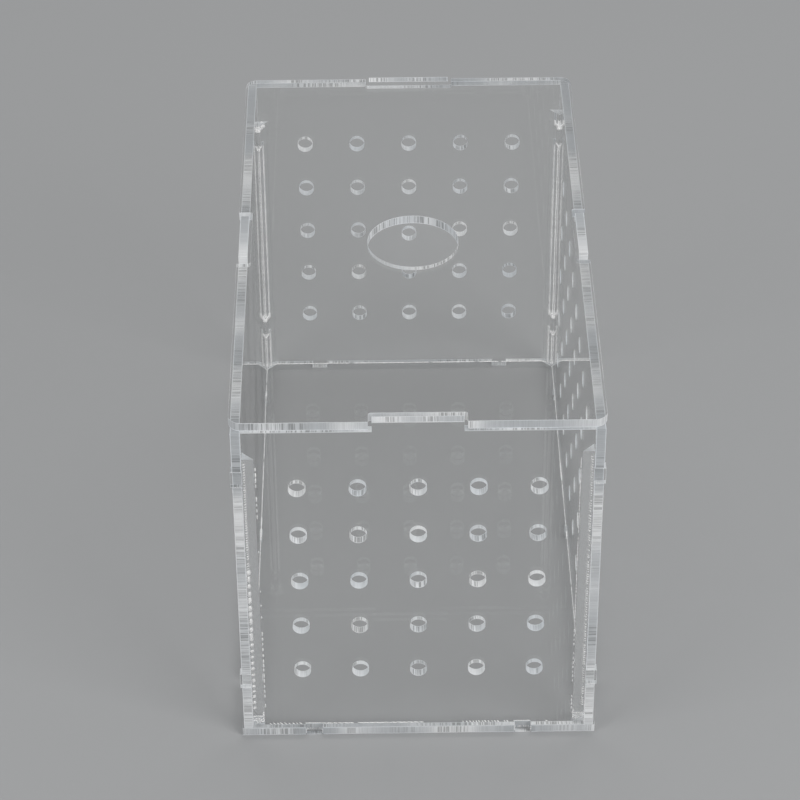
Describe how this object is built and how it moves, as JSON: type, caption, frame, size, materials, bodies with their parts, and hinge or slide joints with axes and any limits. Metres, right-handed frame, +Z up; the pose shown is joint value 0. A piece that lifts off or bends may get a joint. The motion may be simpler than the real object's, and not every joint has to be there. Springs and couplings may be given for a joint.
{
  "type": "fish breeding box",
  "caption": "Clear acrylic breeding box for an aquarium: tabbed and glued sheet walls, small water holes in three of them, corner posts, and a loose lid with a round feeding hole.",
  "frame": {"origin": "the middle of the bottom plate's underside", "axes": "+X towards the right side, whose wall has water holes, +Y towards the back, +Z up"},
  "size_m": [0.1, 0.175, 0.1116],
  "materials": {
    "clear_acrylic": "clear polished faces, frosted laser-cut edges",
    "solvent_glue": "clear dried beads with whitish bubbles"
  },
  "bodies": {
    "box": {"bottom_plate": "clear_acrylic", "front_panel": "clear_acrylic", "back_panel": "clear_acrylic", "left_wall": "clear_acrylic", "right_wall": "clear_acrylic", "front_left_post": "clear_acrylic", "front_right_post": "clear_acrylic", "back_left_post": "clear_acrylic", "back_right_post": "clear_acrylic"},
    "lid": {"lid": "clear_acrylic"}
  },
  "joints": [
    {"name": "lid_lift", "type": "slide", "parent": "box", "child": "lid", "axis": [0, 0, 1], "range_m": [0, 0.12]}
  ]
}
